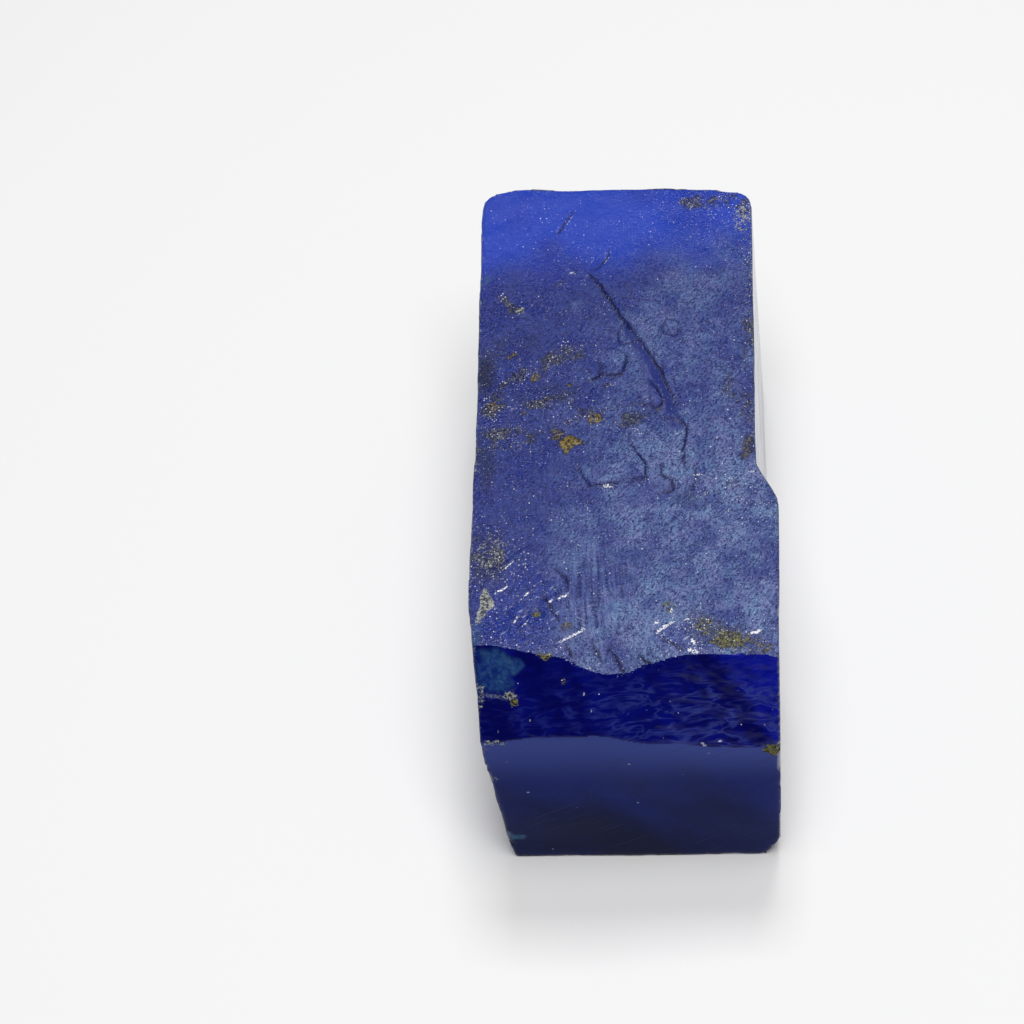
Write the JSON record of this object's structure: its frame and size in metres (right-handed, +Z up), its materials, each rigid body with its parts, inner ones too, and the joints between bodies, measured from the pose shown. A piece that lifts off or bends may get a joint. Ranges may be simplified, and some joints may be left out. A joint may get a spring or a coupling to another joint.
{
  "type": "rough tanzanite",
  "caption": "Upright block of rough blue gem stone with a flat sawn base and sides, a worn pitted top and a rippled break sloping back above the sawn front.",
  "frame": {"origin": "centre of the outline, on the surface that the flat base rests on", "axes": "+Z up; +Y along the block, away from its broken front end; +X across it, to the right as seen from the front"},
  "size_m": [0.0246, 0.0507, 0.0275],
  "materials": {
    "blue_stone": "satin natural faces, glossy breaks and sawn sides"
  },
  "bodies": {
    "root": {"stone_block": "blue_stone"}
  },
  "joints": []
}
